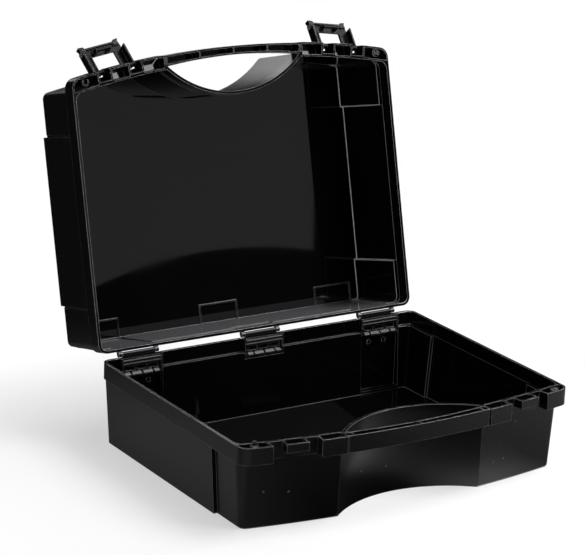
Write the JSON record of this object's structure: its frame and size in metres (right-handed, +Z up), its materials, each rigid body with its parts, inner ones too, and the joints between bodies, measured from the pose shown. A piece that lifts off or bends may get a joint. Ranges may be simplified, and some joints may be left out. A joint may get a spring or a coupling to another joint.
{
  "type": "tool case",
  "caption": "Hard moulded case standing open, with a bowed front, split carry handle, rear hinges and flap latches.",
  "frame": {"origin": "centre of the base's underside, on the surface it stands on", "axes": "+Z up, -Y towards the handle and latches of the base, +Y towards the hinges, +X to the right seen from the front"},
  "size_m": [0.4, 0.4749, 0.4093],
  "materials": {
    "shell_plastic": "satin black moulded polypropylene",
    "latch_plastic": "satin black moulded polypropylene",
    "hinge_plastic": "smooth black plastic",
    "pin_metal": "dull steel rod"
  },
  "bodies": {
    "base": {"base_shell": "shell_plastic", "hinge_leaf_left": "hinge_plastic", "hinge_leaf_middle": "hinge_plastic", "hinge_leaf_right": "hinge_plastic"},
    "lid": {"lid_shell": "shell_plastic", "hinge_pin_left": "pin_metal", "hinge_pin_middle": "pin_metal", "hinge_pin_right": "pin_metal"},
    "latch_left": {"latch_left": "latch_plastic"},
    "latch_right": {"latch_right": "latch_plastic"}
  },
  "joints": [
    {"name": "lid_hinge", "type": "hinge", "parent": "base", "child": "lid", "pos_m": [0, 0.1493, 0.0929], "axis": [1, 0, 0], "range_deg": [0, 104]},
    {"name": "latch_left_hinge", "type": "hinge", "parent": "lid", "child": "latch_left", "pos_m": [-0.14151, 0.23414, 0.38315], "axis": [0.9896, 0.0348, 0.1398], "range_deg": [0, 123]},
    {"name": "latch_right_hinge", "type": "hinge", "parent": "lid", "child": "latch_right", "pos_m": [0.14151, 0.23414, 0.38315], "axis": [0.9896, -0.0348, -0.1398], "range_deg": [0, 123]}
  ]
}
